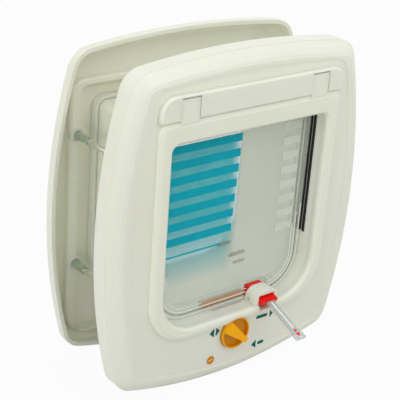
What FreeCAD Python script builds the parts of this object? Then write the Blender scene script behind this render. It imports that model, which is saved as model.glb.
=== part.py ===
"""A cat flap for a door: an indoor frame and an outdoor frame clamped together through the door by
four long screws, a clear flap that swings both ways, a four-position lock knob and a passage indicator.

The frame of the part: X to the right and Z up, seen from indoors, and Y into the door.
Y = 0 is the plane in which the indoor frame meets the door, and Z = 0 is where the frames are widest.
Depths called front are measured from that plane towards the room, which is -Y.
"""
import FreeCAD
import Part
import Sketcher
import math
import os
import sys

os.makedirs("parts", exist_ok=True)
doc = FreeCAD.newDocument("cat_flap")
V = FreeCAD.Vector

# Driving dimensions in millimetres
DIMENSIONS = {
    # outline of both frames, a rectangle with bowed sides that is widest at Z = 0
    "frame_width": 225.0,
    "frame_top": 126.3,
    "frame_bottom": 124.2,
    "side_bow": 19.9,
    "top_bow": 10.2,
    "bottom_bow": 19.7,
    "frame_corner": 18.4,
    "frame_depth": 20.0,
    "skirt_depth": 12.6,
    "skirt_step": 0.6,
    "shell_wall": 2.5,
    "hollow_lead": 0.3,
    # the outdoor frame is shallower and not quite as high
    "rear_depth": 16.3,
    "rear_skirt": 6.6,
    "rear_cut": 2.6,
    # three slopes lead from the skirt to the face; the last two are alike on both frames
    "low_slope": 42.0,
    "middle_slope": 53.0,
    "high_slope": 70.0,
    "middle_rise": 2.5,
    "high_rise": 0.9,
    "panel_width": 193.6,
    "panel_top": 113.2,
    "panel_bottom": 112.8,
    "panel_side_bow": 15.0,
    "panel_top_bow": 6.0,
    "panel_bottom_bow": 17.0,
    "panel_corner": 12.0,
    "panel_sink": 0.5,
    # opening for the animal
    "opening_width": 138.0,
    "opening_top": 71.5,
    "opening_bottom": 71.0,
    "opening_top_corner": 6.0,
    "opening_sill_corner": 30.0,
    # raised ring around the opening and the hinge cover above it
    "ring_width": 160.0,
    "ring_bottom": 79.0,
    "ring_sill_corner": 36.0,
    "ring_top_corner": 8.0,
    "ring_height": 3.0,
    "ring_bevel": 2.0,
    "lip_bevel": 1.7,
    "cover_bottom": 87.8,
    "cover_top": 105.0,
    "cover_corner": 11.0,
    "cover_low_corner": 1.5,
    "cover_proud": 0.5,
    "cover_gap": 0.4,
    "tab_centre": 57.0,
    "tab_width": 15.0,
    "tab_top": 102.4,
    "tab_slot": 1.0,
    "cover_bevel": 0.9,
    "peg_across": 30.0,
    "peg_up": 99.0,
    "peg_width": 8.0,
    "peg_thickness": 2.0,
    "peg_length": 4.0,
    "peg_fit": 0.15,
    # wide ridge on the door side of both frames, with the screw bosses in it
    "ridge_width": 174.0,
    "ridge_top": 90.0,
    "ridge_bottom": 102.0,
    "ridge_thickness": 6.8,
    "ridge_end_thickness": 4.2,
    "ridge_corner": 8.0,
    "ridge_low_corner": 24.0,
    "ridge_setback": 7.5,
    "ridge_bevel": 1.4,
    # tunnel through the door
    "tunnel_wall": 2.0,
    "tunnel_top": 75.0,
    "tunnel_top_corner": 4.0,
    "tunnel_reach": 66.0,
    "tunnel_fit": 0.5,
    "door_gap": 52.7,
    # hinge of the flap
    "hinge_height": 76.0,
    "hinge_front": 6.0,
    "axle_radius": 1.5,
    "axle_fit": 0.08,
    "knuckle_radius": 4.0,
    "knuckle_length": 121.0,
    "bush_radius": 4.5,
    "chamber_top": 82.0,
    "chamber_back": 4.0,
    "flap_play": 0.4,
    # flap
    "flap_width": 133.0,
    "flap_bottom": 70.4,
    "flap_shoulder": 69.5,
    "flap_sheet": 2.0,
    "flap_rim_thickness": 4.0,
    "flap_rim": 8.0,
    "flap_top_rim": 5.0,
    "flap_rib": 10.4,
    "flap_corner": 3.0,
    "field_corner": 1.0,
    "flap_sill_corner": 28.0,
    "notch_height": 57.5,
    "notch_corner": 6.0,
    "notch_play": 0.9,
    "magnet_length": 38.0,
    "magnet_height": 4.0,
    "magnet_thickness": 2.4,
    "magnet_centre": 4.0,
    "magnet_fit": 0.05,
    "keeper_height": 3.0,
    # printed stripes on the flap
    "print_thickness": 0.2,
    "stripe_pitch": 11.35,
    "stripe_height": 6.0,
    "stripe_first": 60.3,
    "stripe_right": 2.9,
    "stripe_slant": 0.6,
    "thin_stripe_height": 1.2,
    "thin_stripe_cut": 13.2,
    "pale_left": 43.0,
    # draught strips beside the flap
    "strip_thickness": 1.8,
    "strip_round": 1.8,
    "strip_depth": 4.0,
    "strip_top": 66.0,
    "strip_bottom": 27.0,
    # lock knob, its shaft and the two lock cams
    "knob_drop": 88.0,
    "knob_radius": 12.5,
    "knob_disc": 1.2,
    "knob_rim": 2.2,
    "knob_rim_width": 0.9,
    "knob_seat": 1.0,
    "knob_fit": 0.4,
    "knob_lift": 0.3,
    "grip_rise": 2.8,
    "grip_nose": 12.0,
    "grip_tail": 11.4,
    "grip_nose_width": 3.6,
    "grip_tail_width": 10.0,
    "grip_angle": 41.0,
    "shaft_radius": 3.0,
    "shaft_fit": 0.1,
    "shaft_seat": 0.04,
    "socket_depth": 2.0,
    "shaft_boss_radius": 5.5,
    "shaft_boss_front": 11.0,
    "shaft_end": 0.4,
    "cam_radius": 12.5,
    "cam_reach": 20.4,
    "cam_thickness": 1.4,
    "cam_gap": 0.6,
    "cam_slot_play": 0.4,
    "lobe_width": 6.4,
    "clip_radius": 5.0,
    "clip_thickness": 1.2,
    # passage indicator in the sill
    "rocker_centre": 28.0,
    "rocker_width": 14.4,
    "rocker_play": 0.4,
    "pivot_front": 13.5,
    "pivot_drop": 68.6,
    "pin_radius": 1.2,
    "pin_fit": 0.06,
    # corners of the rocker, measured from its pivot: across is into the door
    "heel_low_across": 10.5,
    "heel_low_up": 0.2,
    "heel_high_across": 10.5,
    "heel_high_up": 6.2,
    "back_high_across": 4.7,
    "back_high_up": 6.4,
    "back_low_across": 4.2,
    "back_low_up": 3.7,
    "neck_across": -4.6,
    "neck_up": 2.4,
    "brow_across": -5.0,
    "brow_up": 3.2,
    "nose_high_across": -12.3,
    "nose_high_up": 1.4,
    "nose_low_across": -11.3,
    "nose_low_up": -1.4,
    "chin_across": -5.5,
    "chin_up": -3.0,
    "keel_across": 4.5,
    "keel_up": -2.6,
    "hood_width": 22.0,
    "hood_round": 8.0,
    "hood_top": 60.6,
    "hood_thickness": 3.4,
    "hood_front": 21.3,
    "hood_back": 9.6,
    "well_drop": 75.5,
    "well_back": 0.0,
    "pointer_root": 25.5,
    "pointer_width": 6.0,
    "pointer_thickness": 1.8,
    "pointer_length": 38.0,
    "pointer_slope": 20.0,
    "pointer_tip_width": 8.6,
    "pointer_tip_length": 7.5,
    # clamping screws
    "screw_side": 88.0,
    "screw_upper": 55.0,
    "screw_lower": 44.0,
    "screw_radius": 2.0,
    "screw_core_radius": 1.75,
    "shank_clear": 1.0,
    "screw_fit": 0.1,
    "screw_head_radius": 3.8,
    "screw_head_height": 3.0,
    "screw_head_front": 12.0,
    "screw_length": 72.0,
    "boss_radius": 6.0,
    "nut_radius": 2.9,
    "nut_mouth_gap": 1.3,
    "nut_mouth_depth": 3.0,
    "nut_reach": 46.0,
    "nut_flange_radius": 4.6,
    "nut_flange_height": 1.6,
    "boss_setback": 7.0,
}

# printed stripes on the flap, without the thin last one, and the corners of the rocker in order
STRIPES = 7
ROCKER_CORNERS = [
    "heel_low",
    "heel_high",
    "back_high",
    "back_low",
    "neck",
    "brow",
    "nose_high",
    "nose_low",
    "chin",
    "keel",
]

sheet = doc.addObject("Spreadsheet::Sheet", "Sizes")
for row, (alias, number) in enumerate(DIMENSIONS.items(), start=1):
    sheet.set("A%d" % row, alias)
    sheet.set("B%d" % row, repr(number))
    sheet.setAlias("B%d" % row, alias)
doc.recompute()


class Size:
    """A size from the sheet, or arithmetic on such sizes: its number now and its expression."""

    def __init__(self, value, text):
        self.value = value
        self.text = text

    def __add__(self, other):
        other = as_size(other)
        return Size(self.value + other.value, "(%s + %s)" % (self.text, other.text))

    def __sub__(self, other):
        other = as_size(other)
        return Size(self.value - other.value, "(%s - %s)" % (self.text, other.text))

    def __mul__(self, other):
        other = as_size(other)
        return Size(self.value * other.value, "(%s * %s)" % (self.text, other.text))

    def __truediv__(self, other):
        other = as_size(other)
        return Size(self.value / other.value, "(%s / %s)" % (self.text, other.text))

    def __neg__(self):
        return Size(-self.value, "(0 - %s)" % self.text)

    def tangent(self):
        """Tangent of an angle in degrees."""
        return Size(math.tan(math.radians(self.value)), "tan(%s)" % self.text)

    def root(self):
        return Size(math.sqrt(self.value), "sqrt(%s)" % self.text)


def as_size(number):
    """A plain number as a size, such as the 2 that halves a width."""
    if isinstance(number, Size):
        return number
    return Size(float(number), repr(float(number)))


def size(alias):
    """The named size of the sheet."""
    return Size(float(getattr(sheet, alias)), "Sizes.%s" % alias)


def bind(feature, attribute, amount):
    """Set one size of a feature and tie it to the sheet."""
    setattr(feature, attribute, amount.value)
    feature.setExpression(attribute, amount.text)


def new_body(label):
    """A body whose label names the file of its node."""
    body = doc.addObject("PartDesign::Body", label)
    body.Label = label
    return body


def origin_plane(body, role):
    """The body's own origin plane with this role."""
    return [item for item in body.Origin.OriginFeatures if item.Role == role][0]


def new_sketch(body, name, front, role="XZ_Plane"):
    """A sketch parallel to an origin plane, moved along its normal; on XZ that is towards the room."""
    sketch = body.newObject("Sketcher::SketchObject", name)
    sketch.AttachmentSupport = [(origin_plane(body, role), "")]
    sketch.MapMode = "FlatFace"
    front = as_size(front)
    sketch.AttachmentOffset = FreeCAD.Placement(V(0, 0, front.value), FreeCAD.Rotation())
    sketch.setExpression("AttachmentOffset.Base.z", front.text)
    return sketch


def dimension(sketch, kind, targets, amount):
    """Add a dimension to the sketch and tie it to the sheet."""
    amount = as_size(amount)
    index = sketch.addConstraint(Sketcher.Constraint(kind, *targets, amount.value))
    sketch.setExpression("Constraints[%d]" % index, amount.text)


def place_point(sketch, geometry, position, across, up):
    """Hold one point of the sketch at a distance from the sketch's origin, both ways."""
    dimension(sketch, "DistanceX", (-1, 1, geometry, position), across)
    dimension(sketch, "DistanceY", (-1, 1, geometry, position), up)


def draw_circle(sketch, across, up, radius):
    """A circle with its centre and radius held."""
    across, up, radius = as_size(across), as_size(up), as_size(radius)
    circle = sketch.addGeometry(Part.Circle(V(across.value, up.value, 0), V(0, 0, 1), radius.value))
    place_point(sketch, circle, 3, across, up)
    dimension(sketch, "Radius", (circle,), radius)


def draw_polygon(sketch, points):
    """A closed polygon with every corner held."""
    points = [(as_size(across), as_size(up)) for across, up in points]
    corners = [V(across.value, up.value, 0) for across, up in points]
    lines = []
    for start, end in zip(corners, corners[1:] + corners[:1]):
        lines.append(sketch.addGeometry(Part.LineSegment(start, end)))
    for line, following in zip(lines, lines[1:] + lines[:1]):
        sketch.addConstraint(Sketcher.Constraint("Coincident", line, 2, following, 1))
    for line, (across, up) in zip(lines, points):
        place_point(sketch, line, 1, across, up)


def draw_rounded(sketch, left, right, bottom, top, lower_radius, upper_radius):
    """A rectangle with rounded corners, one radius for the lower pair and one for the upper pair."""
    left, right, bottom, top = as_size(left), as_size(right), as_size(bottom), as_size(top)
    low, high = as_size(lower_radius), as_size(upper_radius)
    x0, x1, z0, z1 = left.value, right.value, bottom.value, top.value
    sides = [
        (V(x0 + low.value, z0, 0), V(x1 - low.value, z0, 0)),
        (V(x1, z0 + low.value, 0), V(x1, z1 - high.value, 0)),
        (V(x1 - high.value, z1, 0), V(x0 + high.value, z1, 0)),
        (V(x0, z1 - high.value, 0), V(x0, z0 + low.value, 0)),
    ]
    lines = [sketch.addGeometry(Part.LineSegment(start, end)) for start, end in sides]
    centres = [
        (x1 - low.value, z0 + low.value, low, -math.pi / 2),
        (x1 - high.value, z1 - high.value, high, 0.0),
        (x0 + high.value, z1 - high.value, high, math.pi / 2),
        (x0 + low.value, z0 + low.value, low, math.pi),
    ]
    for number, (across, up, radius, start) in enumerate(centres):
        circle = Part.Circle(V(across, up, 0), V(0, 0, 1), radius.value)
        arc = sketch.addGeometry(Part.ArcOfCircle(circle, start, start + math.pi / 2))
        following = lines[(number + 1) % 4]
        sketch.addConstraint(Sketcher.Constraint("Tangent", lines[number], 2, arc, 1))
        sketch.addConstraint(Sketcher.Constraint("Tangent", arc, 2, following, 1))
        dimension(sketch, "Radius", (arc,), radius)
    for line, kind in zip(lines, ("Horizontal", "Vertical", "Horizontal", "Vertical")):
        sketch.addConstraint(Sketcher.Constraint(kind, line))
    dimension(sketch, "DistanceY", (-1, 1, lines[0], 1), bottom)
    dimension(sketch, "DistanceX", (-1, 1, lines[1], 1), right)
    dimension(sketch, "DistanceY", (-1, 1, lines[2], 1), top)
    dimension(sketch, "DistanceX", (-1, 1, lines[3], 1), left)


def bow_radius(half_chord, bow):
    """Radius of the arc that rises by the bow over half of its chord."""
    return (bow * bow + half_chord * half_chord) / (bow * 2)


def corner_between(side, side_centre, end, end_centre, radius):
    """Centre of the corner arc that touches a side bow and an end bow, and the turns at which it does."""
    # the centre lies on a circle about the centre of each of the two bows
    reach_side = side.value - radius.value
    reach_end = end.value - radius.value
    gap = math.hypot(side_centre.value, end_centre.value)
    along = (reach_side ** 2 - reach_end ** 2 + gap ** 2) / (2 * gap)
    across = math.sqrt(reach_side ** 2 - along ** 2)
    to_end = V(-side_centre.value / gap, end_centre.value / gap, 0)
    square = V(-to_end.y, to_end.x, 0)
    middle = V(side_centre.value, 0, 0) + to_end * along
    centre = max((middle + square * across, middle - square * across), key=lambda point: point.x)
    turn_side = math.atan2(centre.y, centre.x - side_centre.value)
    turn_end = math.atan2(centre.y - end_centre.value, centre.x)
    return centre, turn_side, turn_end


def draw_bowed(sketch, width, top, bottom, side_bow, top_bow, bottom_bow, corner_radius, inset=0):
    """A rectangle with bowed sides and round corners, moved inwards by the inset: four bows, four corners."""
    inset = as_size(inset)
    half_width = width / 2
    side = bow_radius((top + bottom) / 2, side_bow)
    high = bow_radius(half_width, top_bow)
    low = bow_radius(half_width, bottom_bow)
    side_centre = half_width - side
    high_centre = top - high
    low_centre = bottom - low
    upper, upper_side, upper_end = corner_between(side, side_centre, high, high_centre, corner_radius)
    lower, lower_side, lower_end = corner_between(side, side_centre, low, low_centre, corner_radius)
    turn = math.pi
    side_radius = side - inset
    corner = corner_radius - inset
    bows = [
        (side_centre, as_size(0), side_radius, -lower_side, upper_side),
        (as_size(0), high_centre, high - inset, upper_end, turn - upper_end),
        (-side_centre, as_size(0), side_radius, turn - upper_side, turn + lower_side),
        (as_size(0), -low_centre, low - inset, turn + lower_end, 2 * turn - lower_end),
    ]
    corners = [
        (upper.x, upper.y, upper_side, upper_end),
        (-upper.x, upper.y, turn - upper_end, turn - upper_side),
        (-lower.x, -lower.y, turn + lower_side, turn + lower_end),
        (lower.x, -lower.y, 2 * turn - lower_end, 2 * turn - lower_side),
    ]
    bow_arcs = []
    for across_at, up_at, radius, start, stop in bows:
        circle = Part.Circle(V(across_at.value, up_at.value, 0), V(0, 0, 1), radius.value)
        bow_arcs.append(sketch.addGeometry(Part.ArcOfCircle(circle, start, stop)))
    for number, (across_at, up_at, start, stop) in enumerate(corners):
        circle = Part.Circle(V(across_at, up_at, 0), V(0, 0, 1), corner.value)
        arc = sketch.addGeometry(Part.ArcOfCircle(circle, start, stop))
        sketch.addConstraint(Sketcher.Constraint("Tangent", bow_arcs[number], 2, arc, 1))
        sketch.addConstraint(Sketcher.Constraint("Tangent", arc, 2, bow_arcs[(number + 1) % 4], 1))
        dimension(sketch, "Radius", (arc,), corner)
    for arc, (across_at, up_at, radius, _start, _stop) in zip(bow_arcs, bows):
        place_point(sketch, arc, 3, across_at, up_at)
        dimension(sketch, "Radius", (arc,), radius)


def draw_frame_outline(sketch, cut, inset=0):
    """The outline of a frame; the cut lowers its top and raises its bottom."""
    draw_bowed(sketch, size("frame_width"), size("frame_top") - cut, size("frame_bottom") - cut, size("side_bow"),
               size("top_bow"), size("bottom_bow"), size("frame_corner"), inset)


def pad(body, name, sketch, length, reverse=False, midplane=False):
    """Extrude a sketch along its normal."""
    feature = body.newObject("PartDesign::Pad", name)
    feature.Profile = sketch
    feature.Reversed = reverse
    feature.Midplane = midplane
    bind(feature, "Length", as_size(length))
    return feature


def pocket(body, name, sketch, depth, reverse=False, midplane=False):
    """Cut a sketch out of the body, against its normal unless reversed."""
    doc.recompute()
    before = body.Shape.Volume
    feature = body.newObject("PartDesign::Pocket", name)
    feature.Profile = sketch
    feature.Reversed = reverse
    feature.Midplane = midplane
    bind(feature, "Length", as_size(depth))
    doc.recompute()
    if before - body.Shape.Volume < 1e-6:
        sys.exit("%s cuts nothing out of %s" % (name, body.Label))
    return feature


def find_edges(feature, wanted):
    """Names of the edges of a feature that answer the question asked of each."""
    return ["Edge%d" % number for number, edge in enumerate(feature.Shape.Edges, start=1) if wanted(edge)]


def lies_at_front(edge, front, tolerance=1e-4):
    """Whether the whole edge lies at this depth towards the room."""
    box = edge.BoundBox
    return abs(box.YMin + front) < tolerance and abs(box.YMax + front) < tolerance


def round_edges(body, name, base, edges, radius):
    """Round the named edges of the last feature."""
    feature = body.newObject("PartDesign::Fillet", name)
    feature.Base = (base, edges)
    bind(feature, "Radius", as_size(radius))
    doc.recompute()
    return feature


def bevel_edges(body, name, base, edges, amount):
    """Bevel the named edges of the last feature by the same amount both ways."""
    feature = body.newObject("PartDesign::Chamfer", name)
    feature.Base = (base, edges)
    bind(feature, "Size", as_size(amount))
    doc.recompute()
    return feature


def slope_pad(body, name, front, cut, inset, rise, slope):
    """One layer of the frame, which narrows towards the room at this slope; returns the next layer's inset."""
    sketch = new_sketch(body, name + "Outline", front)
    draw_frame_outline(sketch, cut, inset)
    layer = pad(body, name, sketch, rise)
    bind(layer, "TaperAngle", -slope)
    return inset + rise * slope.tangent()


def frame_shell(body, depth, skirt, cut):
    """What both frames share: the bowed skirt, the slopes to the face, the hollow and the ridge."""
    step = size("skirt_step")
    wall = size("shell_wall")
    sketch = new_sketch(body, "SkirtOutline", 0)
    draw_frame_outline(sketch, cut)
    pad(body, "Skirt", sketch, skirt)
    middle_rise = size("middle_rise")
    high_rise = size("high_rise")
    low_rise = depth - skirt - middle_rise - high_rise
    inset = slope_pad(body, "LowSlope", skirt, cut, step, low_rise, size("low_slope"))
    inset = slope_pad(body, "MiddleSlope", skirt + low_rise, cut, inset, middle_rise, size("middle_slope"))
    slope_pad(body, "HighSlope", depth - high_rise, cut, inset, high_rise, size("high_slope"))
    sketch = new_sketch(body, "PanelOutline", depth)
    draw_bowed(sketch, size("panel_width"), size("panel_top") - cut * 2, size("panel_bottom") - cut * 2,
               size("panel_side_bow"), size("panel_top_bow"), size("panel_bottom_bow"), size("panel_corner"), cut)
    pocket(body, "PanelSink", sketch, size("panel_sink"))
    # the hollow leans in behind the slopes, so that the wall keeps about its thickness
    inner_skirt = skirt - size("hollow_lead")
    sketch = new_sketch(body, "HollowOutline", inner_skirt)
    draw_frame_outline(sketch, cut, step + wall)
    pocket(body, "Hollow", sketch, inner_skirt)
    sketch = new_sketch(body, "HollowTaperOutline", inner_skirt)
    draw_frame_outline(sketch, cut, step + wall)
    taper = pocket(body, "HollowTaper", sketch, depth - wall - inner_skirt, reverse=True)
    taper.TaperAngle = -45.0
    doc.recompute()
    # wide ridge round the cut-out in the door
    half = size("ridge_width") / 2
    thick = size("ridge_thickness")
    end_thick = size("ridge_end_thickness")
    corner = size("ridge_corner")
    top = size("ridge_top")
    bottom = size("ridge_bottom")
    setback = size("ridge_setback")
    sketch = new_sketch(body, "RidgeOutline", setback)
    draw_rounded(sketch, -half - thick, half + thick, -bottom - end_thick, top + end_thick,
                 size("ridge_low_corner"), corner + end_thick)
    ridge = pad(body, "Ridge", sketch, depth - wall - setback)
    doc.recompute()
    reach = half.value + thick.value
    outer = find_edges(ridge, lambda edge: lies_at_front(edge, setback.value)
                       and edge.BoundBox.XMin > -reach - 1 and edge.BoundBox.XMax < reach + 1)
    bevel_edges(body, "RidgeBevel", ridge, outer, size("ridge_bevel"))
    sketch = new_sketch(body, "RecessOutline", setback)
    draw_rounded(sketch, -half, half, -bottom, top, corner, corner)
    pocket(body, "Recess", sketch, depth - wall - setback, reverse=True)


def screw_places():
    """Across and up for each of the four clamping screws."""
    side = size("screw_side")
    heights = (size("screw_upper"), -size("screw_lower"))
    return [(across, up) for up in heights for across in (-side, side)]


def screw_bosses(body, depth):
    """Round bosses for the screws, from the inside of the face to the crest of the ridge."""
    for number, (across, up) in enumerate(screw_places(), start=1):
        sketch = new_sketch(body, "Boss%dOutline" % number, size("boss_setback"))
        draw_circle(sketch, across, up, size("boss_radius"))
        pad(body, "Boss%d" % number, sketch, depth - size("shell_wall") - size("boss_setback"))


def rounded_pad(body, name, front, box, radii, length, reverse=False):
    """Pad a rounded rectangle: box is left, right, bottom and top, radii are the lower and the upper."""
    sketch = new_sketch(body, name + "Outline", front)
    draw_rounded(sketch, *box, *radii)
    return pad(body, name, sketch, length, reverse)


def rounded_pocket(body, name, front, box, radii, depth, reverse=False):
    """Cut a rounded rectangle out of the body."""
    sketch = new_sketch(body, name + "Outline", front)
    draw_rounded(sketch, *box, *radii)
    return pocket(body, name, sketch, depth, reverse)


def box_pad(body, name, front, box, length, reverse=False):
    """Pad a plain rectangle: left, right, bottom and top."""
    left, right, bottom, top = box
    sketch = new_sketch(body, name + "Outline", front)
    draw_polygon(sketch, [(left, bottom), (right, bottom), (right, top), (left, top)])
    return pad(body, name, sketch, length, reverse)


def box_pocket(body, name, front, box, depth, reverse=False):
    """Cut a plain rectangle out of the body."""
    left, right, bottom, top = box
    sketch = new_sketch(body, name + "Outline", front)
    draw_polygon(sketch, [(left, bottom), (right, bottom), (right, top), (left, top)])
    return pocket(body, name, sketch, depth, reverse)


def round_pad(body, name, front, place, radius, length, role="XZ_Plane"):
    """Pad a circle with its centre at this place."""
    sketch = new_sketch(body, name + "Outline", front, role)
    draw_circle(sketch, *place, radius)
    return pad(body, name, sketch, length)


def round_pocket(body, name, front, place, radius, depth, role="XZ_Plane"):
    """Drill a circle with its centre at this place."""
    sketch = new_sketch(body, name + "Outline", front, role)
    draw_circle(sketch, *place, radius)
    return pocket(body, name, sketch, depth)


def tunnel_box(grow):
    """Left, right, bottom and top of the passage through the tunnel, grown by a wall."""
    half = size("opening_width") / 2 + grow
    return (-half, half, -size("opening_bottom") - grow, size("tunnel_top") + grow)


def tunnel_radii(grow):
    return (size("opening_sill_corner") + grow, size("tunnel_top_corner") + grow)


def face_ring(body, depth, opening, radii):
    """The raised ring round the opening on the face of a frame, and the opening through it."""
    face = depth - size("panel_sink")
    root = face - size("shell_wall") / 2
    front = depth + size("ring_height")
    half = size("ring_width") / 2
    top = size("cover_bottom") - size("cover_gap")
    ring = rounded_pad(body, "Ring", root, (-half, half, -size("ring_bottom"), top),
                       (size("ring_sill_corner"), size("ring_top_corner")), front - root)
    doc.recompute()
    reach = half.value + 1
    rim = find_edges(ring, lambda edge: lies_at_front(edge, front.value) and edge.BoundBox.XMax < reach)
    bevel_edges(body, "RingBevel", ring, rim, size("ring_bevel"))
    cut = rounded_pocket(body, "Opening", front, opening, radii, front)
    inner = opening[1].value + 1
    lip = find_edges(cut, lambda edge: lies_at_front(edge, front.value) and edge.BoundBox.XMax < inner
                     and edge.BoundBox.XMin > -inner)
    bevel_edges(body, "LipBevel", cut, lip, size("lip_bevel"))


def make_front_frame():
    body = new_body("front_frame")
    depth = size("frame_depth")
    frame_shell(body, depth, size("skirt_depth"), as_size(0))
    screw_bosses(body, depth)
    wall = size("shell_wall")
    face = depth - size("panel_sink")
    half = size("opening_width") / 2
    opening = (-half, half, -size("opening_bottom"), size("opening_top"))
    face_ring(body, depth, opening, (size("opening_sill_corner"), size("opening_top_corner")))
    # two tabs of the ring reach up into the hinge cover
    ring_top = size("cover_bottom") - size("cover_gap")
    for side, name in ((-1, "LeftTab"), (1, "RightTab")):
        middle = size("tab_centre") * side
        reach = size("tab_width") / 2
        box_pad(body, name, face - wall / 2, (middle - reach, middle + reach, ring_top - size("ring_bevel"),
                size("tab_top")), size("ring_height") + size("panel_sink") + wall / 2)
        peg = size("peg_across") * side
        grow = size("peg_fit")
        peg_half = size("peg_width") / 2 + grow
        peg_rise = size("peg_thickness") / 2 + grow
        box_pocket(body, name + "PegSlot", face, (peg - peg_half, peg + peg_half, size("peg_up") - peg_rise,
                   size("peg_up") + peg_rise), wall)
    # seat, boss and bore of the lock knob
    knob = (as_size(0), -size("knob_drop"))
    round_pad(body, "ShaftBoss", size("shaft_boss_front"), knob, size("shaft_boss_radius"),
              depth - wall / 2 - size("shaft_boss_front"))
    doc.recompute()
    proud = depth + size("ring_height")
    round_pocket(body, "KnobSeat", proud, knob, size("knob_radius") + size("knob_fit"),
                 proud - face + size("knob_seat"))
    round_pocket(body, "ShaftBore", face, knob, size("shaft_radius") + size("shaft_fit"), face)
    # slot for the rocker of the indicator, through the sill of the ring
    rocker = size("rocker_centre")
    slot = size("rocker_width") / 2 + size("rocker_play")
    box_pocket(body, "RockerSlot", proud, (rocker - slot, rocker + slot, -size("well_drop"),
               -size("opening_bottom") + size("lip_bevel") * 2), proud - depth + wall)
    # the head of each screw is held inside its boss
    head = size("screw_head_front")
    for number, (across, up) in enumerate(screw_places(), start=1):
        round_pocket(body, "HeadSeat%d" % number, head + size("screw_fit"), (across, up),
                     size("screw_head_radius") + size("screw_fit"),
                     size("screw_head_height") + size("screw_fit") * 2)
        round_pocket(body, "ScrewBore%d" % number, head, (across, up),
                     size("screw_core_radius") + size("screw_fit"), head)
    # the lobes of the inner lock cam turn past the ridge
    sweep = (size("cam_reach") * size("cam_reach") + size("lobe_width") * size("lobe_width") / 4).root()
    play = size("cam_slot_play")
    round_pocket(body, "CamNotch", cam_in_front() + play, knob, sweep + play, cam_in_front() + play)
    return body


def make_front_tunnel():
    body = new_body("front_tunnel")
    wall = size("tunnel_wall")
    reach = size("tunnel_reach")
    front = size("frame_depth") - size("shell_wall")
    back = size("chamber_back")
    half = size("opening_width") / 2
    corner = size("tunnel_top_corner")
    top = size("tunnel_top")
    high = size("chamber_top")
    rounded_pad(body, "Tube", -reach, tunnel_box(wall), tunnel_radii(wall), front + reach)
    box_pad(body, "Chamber", -back - wall, (-half - wall, half + wall, top - corner, high + wall),
            front + back + wall)
    # well under the sill for the rocker of the indicator
    rocker = size("rocker_centre")
    slot = size("rocker_width") / 2 + size("rocker_play")
    well_back = size("well_back")
    box_pad(body, "Well", -well_back - wall, (rocker - slot - wall, rocker + slot + wall,
            -size("well_drop") - wall, -size("opening_bottom") - wall / 2), front + well_back + wall)
    doc.recompute()
    rounded_pocket(body, "Passage", front, tunnel_box(as_size(0)), tunnel_radii(as_size(0)), front + reach)
    box_pocket(body, "ChamberHollow", front, (-half, half, top - corner, high), front + back)
    box_pocket(body, "WellHollow", front, (rocker - slot, rocker + slot, -size("well_drop"),
               -size("opening_bottom") + wall / 2), front + well_back)
    # a slot in the sill for the lobes of each lock cam
    drop = size("knob_drop") - size("opening_bottom") - wall
    tip = size("cam_reach") * size("cam_reach") + size("lobe_width") * size("lobe_width") / 4
    chord = (tip - drop * drop).root() + size("cam_slot_play")
    play = size("cam_slot_play")
    for name, cam_front in (("InSlot", cam_in_front()), ("OutSlot", cam_out_front())):
        box_pocket(body, name, cam_front + play, (-chord, chord, -size("opening_bottom") - wall * 2,
                   -size("opening_bottom") + wall), size("cam_thickness") + play * 2)
    return body


def flap_front():
    """Depth of the front face of the flap's rim."""
    return size("hinge_front") + size("flap_rim_thickness") / 2


def cam_in_front():
    """Front face of the cam that stops the flap from swinging indoors."""
    return flap_front() + size("cam_gap") + size("cam_thickness")


def cam_out_front():
    """Front face of the cam that stops the flap from swinging outdoors."""
    return flap_front() - size("flap_rim_thickness") - size("cam_gap")


def make_hinge_cover():
    body = new_body("hinge_cover")
    half = size("ring_width") / 2
    low = size("cover_bottom")
    gap = size("cover_gap")
    face = size("frame_depth") - size("panel_sink")
    front = size("frame_depth") + size("ring_height") + size("cover_proud")
    plate = rounded_pad(body, "Plate", face, (-half, half, low, size("cover_top")),
                        (size("cover_low_corner"), size("cover_corner")), front - face)
    doc.recompute()
    rim = find_edges(plate, lambda edge: lies_at_front(edge, front.value))
    bevel_edges(body, "PlateBevel", plate, rim, size("cover_bevel"))
    for side, name in ((-1, "Left"), (1, "Right")):
        middle = size("tab_centre") * side
        reach = size("tab_width") / 2 + gap
        box_pocket(body, name + "Notch", front, (middle - reach, middle + reach, low - gap,
                   size("tab_top") + size("tab_slot")), front - face)
        peg = size("peg_across") * side
        box_pad(body, name + "Peg", face - size("peg_length"), (peg - size("peg_width") / 2,
                peg + size("peg_width") / 2, size("peg_up") - size("peg_thickness") / 2,
                size("peg_up") + size("peg_thickness") / 2), size("peg_length"))
    return body


def hinge_place():
    """The hinge line on a sketch that looks along X: across is into the door, up is up."""
    return (-size("hinge_front"), size("hinge_height"))


def make_hinge_axle():
    body = new_body("hinge_axle")
    half = size("opening_width") / 2 - size("flap_play")
    round_pad(body, "Rod", -half, hinge_place(), size("axle_radius"), half * 2, "YZ_Plane")
    return body


def make_hinge_bush(label, side):
    """A bush on the side wall of the hinge chamber, in which one end of the axle lies."""
    body = new_body(label)
    inner = size("knuckle_length") / 2 + size("flap_play")
    outer = size("opening_width") / 2
    start = inner if side > 0 else -outer
    round_pad(body, "Bush", start, hinge_place(), size("bush_radius"), outer - inner, "YZ_Plane")
    doc.recompute()
    round_pocket(body, "AxleBore", start + outer - inner, hinge_place(),
                 size("axle_radius") + size("shaft_seat"), outer - inner, "YZ_Plane")
    return body


def flap_box():
    """Left, right, bottom and top of the flap."""
    half = size("flap_width") / 2
    return (-half, half, -size("flap_bottom"), size("flap_shoulder"))


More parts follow.
